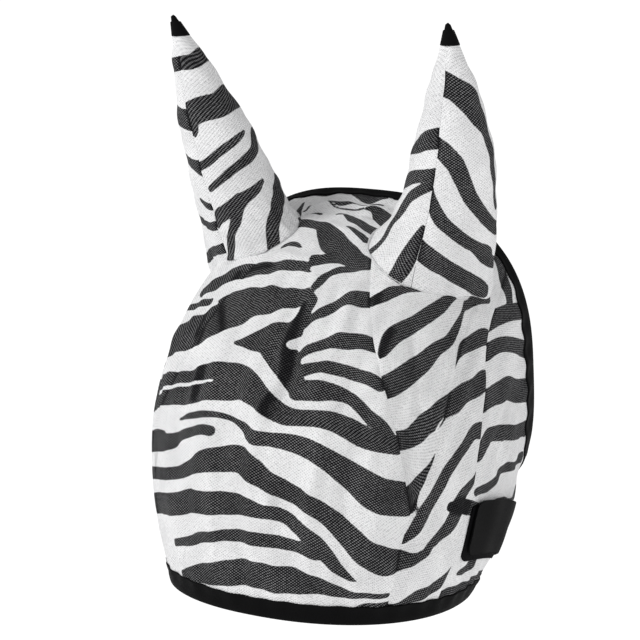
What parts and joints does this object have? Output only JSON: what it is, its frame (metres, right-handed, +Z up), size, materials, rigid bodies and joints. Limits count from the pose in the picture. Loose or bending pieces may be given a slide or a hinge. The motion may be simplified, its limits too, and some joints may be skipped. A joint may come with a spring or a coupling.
{
  "type": "fly mask",
  "caption": "Horse fly mask of striped see-through mesh with two ear covers, bound edges and a jaw flap that closes with a hook-and-loop strap on the left jowl.",
  "frame": {"origin": "where the mask rests on the horse's poll, on the midline between the ears", "axes": "+X to the horse's left, +Y towards the neck and jaw, -Y out of the face, +Z up"},
  "size_m": [0.285, 0.2701, 0.4742],
  "materials": {
    "mesh": "woven mesh, black and white stripes",
    "tape": "folded binding tape, matt",
    "loop": "hook-and-loop pile",
    "webbing": "flat woven webbing"
  },
  "bodies": {
    "mask": {"face_panel": "mesh", "crown_panel": "mesh", "left_eye_gusset": "mesh", "left_cheek_panel": "mesh", "left_jowl_panel": "mesh", "right_eye_gusset": "mesh", "right_cheek_panel": "mesh", "right_jowl_panel": "mesh", "nose_binding": "tape", "crown_elastic": "tape", "left_neck_binding": "tape", "right_neck_binding": "tape", "loop_patch": "loop"},
    "jaw_flap": {"jaw_flap": "mesh", "chin_binding": "tape", "throat_binding": "tape", "strap_anchor": "webbing"},
    "strap": {"closure_strap": "webbing", "hook_pad": "loop"},
    "left_ear": {"left_ear_inner": "mesh", "left_ear_outer": "mesh", "left_ear_tip": "tape"},
    "right_ear": {"right_ear_inner": "mesh", "right_ear_outer": "mesh", "right_ear_tip": "tape"}
  },
  "joints": [
    {"name": "jaw_flap_swing", "type": "hinge", "parent": "mask", "child": "jaw_flap", "pos_m": [-0.11511, 0.05668, -0.26547], "axis": [-0.067, 0.7212, 0.6895], "range_deg": [0, 95]},
    {"name": "strap_peel", "type": "hinge", "parent": "jaw_flap", "child": "strap", "pos_m": [0.11774, 0.05736, -0.26474], "axis": [0.0265, 0.6969, 0.7167], "range_deg": [0, 115]},
    {"name": "left_ear_tilt", "type": "hinge", "parent": "mask", "child": "left_ear", "pos_m": [0.083, -0.005, -0.04], "axis": [0.7604, 0.3546, -0.5442], "range_deg": [-10, 10], "stiffness_Nm_per_rad": 0.4},
    {"name": "right_ear_tilt", "type": "hinge", "parent": "mask", "child": "right_ear", "pos_m": [-0.078, -0.005, -0.03283], "axis": [0.8042, -0.375, 0.4611], "range_deg": [-10, 10], "stiffness_Nm_per_rad": 0.4}
  ]
}
